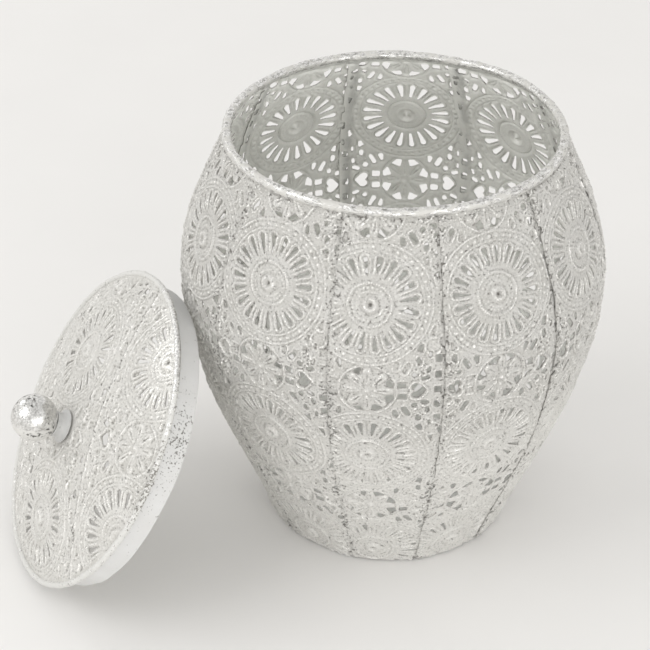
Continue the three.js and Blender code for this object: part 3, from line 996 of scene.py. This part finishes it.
def worn_wire():
    """Beaten silvered wire, half covered by white wash, with painted glints and painted dark reflections
    streaked along its bare metal, and fine dark streaks that are partly scratches and partly painted
    reflections.
    """
    look = Finish("worn_wire_metal")
    grain = look.noise(1.7, 4.0, 0.7, 0.0, 3.2)
    wash = look.ramp(look.noise(7.0, 4.0, 0.7, 0.6, 2.5), (0.47, 0.0), (0.56, 1.0))
    # Fine dark streaks along the wire: partly scratches, partly painted dark reflections.
    marks = look.ramp(look.noise(3.0, 3.5, 0.72, 0.0, 3.0), (0.6, 0.0), (0.66, 0.75))
    # Streaked metal grain from dark grey to near white: painted glints and painted dark reflections.
    metal = look.ramp(grain, (0.38, (0.4, 0.395, 0.38)), (0.6, (0.86, 0.855, 0.84)))
    colour = look.mix(wash, metal, (0.6, 0.59, 0.56))
    colour = look.mix(marks, colour, (0.24, 0.23, 0.205))
    metallic = look.ramp(wash, (0.0, 0.8), (1.0, 0.15))
    roughness = look.ramp(wash, (0.0, 0.22), (1.0, 0.55))
    look.bump(grain, 0.6, 0.35)
    return look.finish(colour, metallic, roughness)


def speckled_white():
    """Matt white paint, finely speckled where it has chipped to dark metal."""
    look = Finish("skirt_white")
    patches = look.noise(26.0, 3.0, 0.6, 0.3)
    chipped = look.times(look.stored("chipped"), 0.1)
    specks = look.plus(look.noise(0.95, 2.5, 0.65), look.times(patches, 0.1))
    specks = look.plus(specks, chipped)
    dark = look.ramp(specks, (0.745, 0.0), (0.785, 0.92))
    paint = look.ramp(patches, (0.3, (0.67, 0.67, 0.665)), (0.7, (0.62, 0.615, 0.6)))
    colour = look.mix(dark, paint, (0.13, 0.125, 0.11))
    look.bump(look.maths("SUBTRACT", look.noise(1.0, 2.0, 0.5), look.times(dark, 0.8)), 0.7, 0.12)
    return look.finish(colour, 0.0, 0.6)


def silvered():
    """Bright silvering with painted glints and painted dark reflections in its grain, clusters of dark
    pits above and white wash below.
    """
    look = Finish("ball_silver")
    patches = look.noise(5.0, 3.0, 0.6, 0.3)
    clusters = look.times(look.noise(6.0, 2.0), 0.6)
    pits = look.plus(look.noise(1.7, 3.5, 0.7, 0.3), clusters)
    pits = look.ramp(pits, (0.915, 0.0), (0.955, 1.0))
    wash = look.ramp(look.plus(patches, look.stored("wash")), (0.66, 0.0), (0.8, 1.0))
    # Metal grain from dark grey to light: painted glints and painted dark reflections.
    metal = look.ramp(look.noise(1.0, 3.0, 0.7), (0.36, (0.48, 0.475, 0.46)), (0.62, (0.84, 0.835, 0.82)))
    colour = look.mix(wash, metal, (0.66, 0.65, 0.625))
    colour = look.mix(pits, colour, (0.09, 0.088, 0.08))
    metallic = look.ramp(wash, (0.0, 1.0), (1.0, 0.1))
    roughness = look.ramp(wash, (0.0, 0.24), (1.0, 0.5))
    look.bump(look.maths("SUBTRACT", look.noise(1.4, 2.0), look.times(pits, 0.8)), 0.6, 0.2)
    return look.finish(colour, metallic, roughness)


def washed_edge():
    """The lid's edge: white wash, worn in places to bright silver with painted glints and painted dark
    reflections, and chipped in others.
    """
    look = Finish("lid_edge_wash")
    grain = look.noise(0.8, 4.0, 0.7)
    rubbed = look.plus(look.noise(2.4, 3.0, 0.7), look.times(look.stored("rubbed"), 0.25))
    rubbed = look.ramp(rubbed, (0.56, 0.0), (0.62, 1.0))
    chips = look.plus(look.noise(1.1, 3.0, 0.7), look.times(look.stored("chipped"), 0.16))
    chips = look.ramp(chips, (0.64, 0.0), (0.69, 0.9))
    # Metal grain from dark grey to near white: painted glints and painted dark reflections.
    metal = look.ramp(grain, (0.36, (0.45, 0.445, 0.43)), (0.6, (0.96, 0.955, 0.94)))
    colour = look.mix(rubbed, (0.66, 0.655, 0.63), metal)
    colour = look.mix(chips, colour, (0.16, 0.15, 0.13))
    metallic = look.ramp(rubbed, (0.0, 0.0), (1.0, 0.9))
    roughness = look.ramp(rubbed, (0.0, 0.55), (1.0, 0.22))
    look.bump(grain, 1.0, 0.3)
    return look.finish(colour, metallic, roughness)


def bare_steel(name, dark):
    """Plain grey steel with fine scratches and stains."""
    look = Finish(name)
    stains = look.noise(7.0, 4.0, 0.6, 0.5)
    grain = look.noise(0.8, 3.0, 0.6)
    light = 2.1 * dark
    colour = look.ramp(stains, (0.3, (dark, dark, 0.95 * dark)), (0.7, (light, light, 0.96 * light)))
    roughness = look.ramp(grain, (0.3, 0.36), (0.7, 0.58))
    look.bump(grain, 0.6, 0.1)
    return look.finish(colour, 0.85, roughness)


def pale_wash(name, tone):
    """Pale grey wash over steel, stained towards darker grey."""
    look = Finish(name)
    stains = look.noise(12.0, 4.0, 0.6, 0.5)
    pale = 1.16 * tone
    colour = look.ramp(stains, (0.3, (tone, tone, 0.985 * tone)), (0.7, (pale, pale, 0.98 * pale)))
    specks = look.ramp(look.noise(1.3, 3.0, 0.65), (0.66, 0.0), (0.71, 0.8))
    colour = look.mix(specks, colour, (0.2, 0.19, 0.17))
    look.bump(look.noise(0.9, 3.0, 0.6), 0.6, 0.12)
    return look.finish(colour, 0.1, 0.55)


def pale_floor():
    look = Finish("floor_paper")
    tone = look.noise(60.0, 2.0)
    colour = look.ramp(tone, (0.3, (0.805, 0.795, 0.78)), (0.7, (0.815, 0.805, 0.79)))
    return look.finish(colour, 0.0, 0.75)


# -------- the studio

def floor():
    corners = [(-1, -1), (1, -1), (1, 1), (-1, 1)]
    points = np.array([(x * FLOOR_REACH, y * FLOOR_REACH, -FLOOR_DROP) for x, y in corners])
    made = mesh_object("floor", points, np.array([[0, 1, 2, 3]]))
    made.data.materials.append(pale_floor())


def soft_light(name, place, target, size, power):
    data = bpy.data.lights.new(name, "AREA")
    data.shape = "RECTANGLE"
    data.size, data.size_y = size
    data.energy = power
    made = bpy.data.objects.new(name, data)
    bpy.context.collection.objects.link(made)
    made.location = place
    away = np.array(place) - np.array(target)
    away = away / np.linalg.norm(away)
    across = np.cross((0, 0, 1), away)
    across = across / np.linalg.norm(across)
    set_axes(made, across, np.cross(away, across), away, place)


def set_axes(made, right, up, back, place):
    """Places an object by the directions of its own X, Y and Z."""
    rows = np.eye(4)
    rows[:3, 0], rows[:3, 1], rows[:3, 2], rows[:3, 3] = right, up, back, place
    made.matrix_world = Matrix(rows.tolist())


def lights():
    world = bpy.data.worlds.new("studio")
    world.use_nodes = True
    tree = world.node_tree
    direction = tree.nodes.new("ShaderNodeTexCoord")
    split = tree.nodes.new("ShaderNodeSeparateXYZ")
    sky = tree.nodes.new("ShaderNodeValToRGB")
    low, high = sky.color_ramp.elements
    low.position, low.color = 0.0, (*HORIZON, 1)
    high.position, high.color = 0.8, (*ZENITH, 1)
    tree.links.new(direction.outputs["Generated"], split.inputs[0])
    tree.links.new(split.outputs["Z"], sky.inputs["Fac"])
    tree.links.new(sky.outputs["Color"], tree.nodes["Background"].inputs["Color"])
    tree.nodes["Background"].inputs["Strength"].default_value = 1.0
    bpy.context.scene.world = world
    for name, (place, target, size, power) in LIGHTS.items():
        soft_light(name, place, target, size, power)


def camera():
    """The photograph's viewpoint."""
    yaw, pitch, roll = (math.radians(a) for a in (CAMERA_YAW, CAMERA_PITCH, CAMERA_ROLL))
    level = np.array([math.sin(yaw), math.cos(yaw), 0])
    ahead = level * math.cos(pitch) - np.array([0, 0, math.sin(pitch)])
    right = np.array([math.cos(yaw), -math.sin(yaw), 0])
    up = np.cross(right, ahead)
    turned_right = right * math.cos(roll) + up * math.sin(roll)
    turned_up = up * math.cos(roll) - right * math.sin(roll)
    data = bpy.data.cameras.new("camera")
    data.lens = CAMERA_LENS
    data.sensor_width = SENSOR_WIDTH
    data.clip_end = 30
    made = bpy.data.objects.new("camera", data)
    bpy.context.collection.objects.link(made)
    set_axes(made, turned_right, turned_up, -ahead, CAMERA_PLACE)
    bpy.context.scene.camera = made


# -------- the whole

def build_jar(outside, inside, wire):
    for index in range(len(GORE_WIDTHS)):
        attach(gore(index, outside, inside), "jar")
    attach(rim_wire(wire), "jar")
    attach(base_plate(pale_wash("base_wash", 0.74)), "jar")


def ball_wash(ball):
    """Marks the ball's lower half for the white wash."""
    count = len(ball.data.vertices)
    flat = np.empty(count * 3)
    ball.data.vertices.foreach_get("co", flat)
    height = flat[2::3] * 1000
    height = height - (height.min() + height.max()) / 2
    store(ball, "wash", np.clip(0.24 - 0.05 * height, -0.3, 0.7))


def build_lid(outside, inside):
    pieces = [(lid_panel(width, outside, inside), "washed_sheet") for width in LID_PANELS]
    ball = knob_ball(silvered())
    ball_wash(ball)
    pieces += [
        (lid_edge(washed_edge()), "worn_wire"),
        (lid_skirt(speckled_white()), "white_paint"),
        (ball, "silvered_ball"),
        (knob_collar(pale_wash("collar_wash", 0.52)), "bare_steel"),
    ]
    for piece, slot in pieces:
        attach(piece, "lid")


def repaint(node, material):
    """Gives a CAD piece that stays a better material."""
    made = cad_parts[node]
    made.data.materials.clear()
    made.data.materials.append(material)


camera()
lights()
floor()
OUTSIDE = washed_silver("washed_silver", 0.58, 0.025)
INSIDE = inner_steel()
WIRE = worn_wire()
build_jar(OUTSIDE, INSIDE, WIRE)
build_lid(washed_silver("washed_silver_lid", 0.685, 0.0), INSIDE)
fastener = bare_steel("fastener_steel", 0.3)
repaint("knob_washer", fastener)
repaint("knob_screw", fastener)
bpy.context.scene.view_settings.view_transform = "Standard"
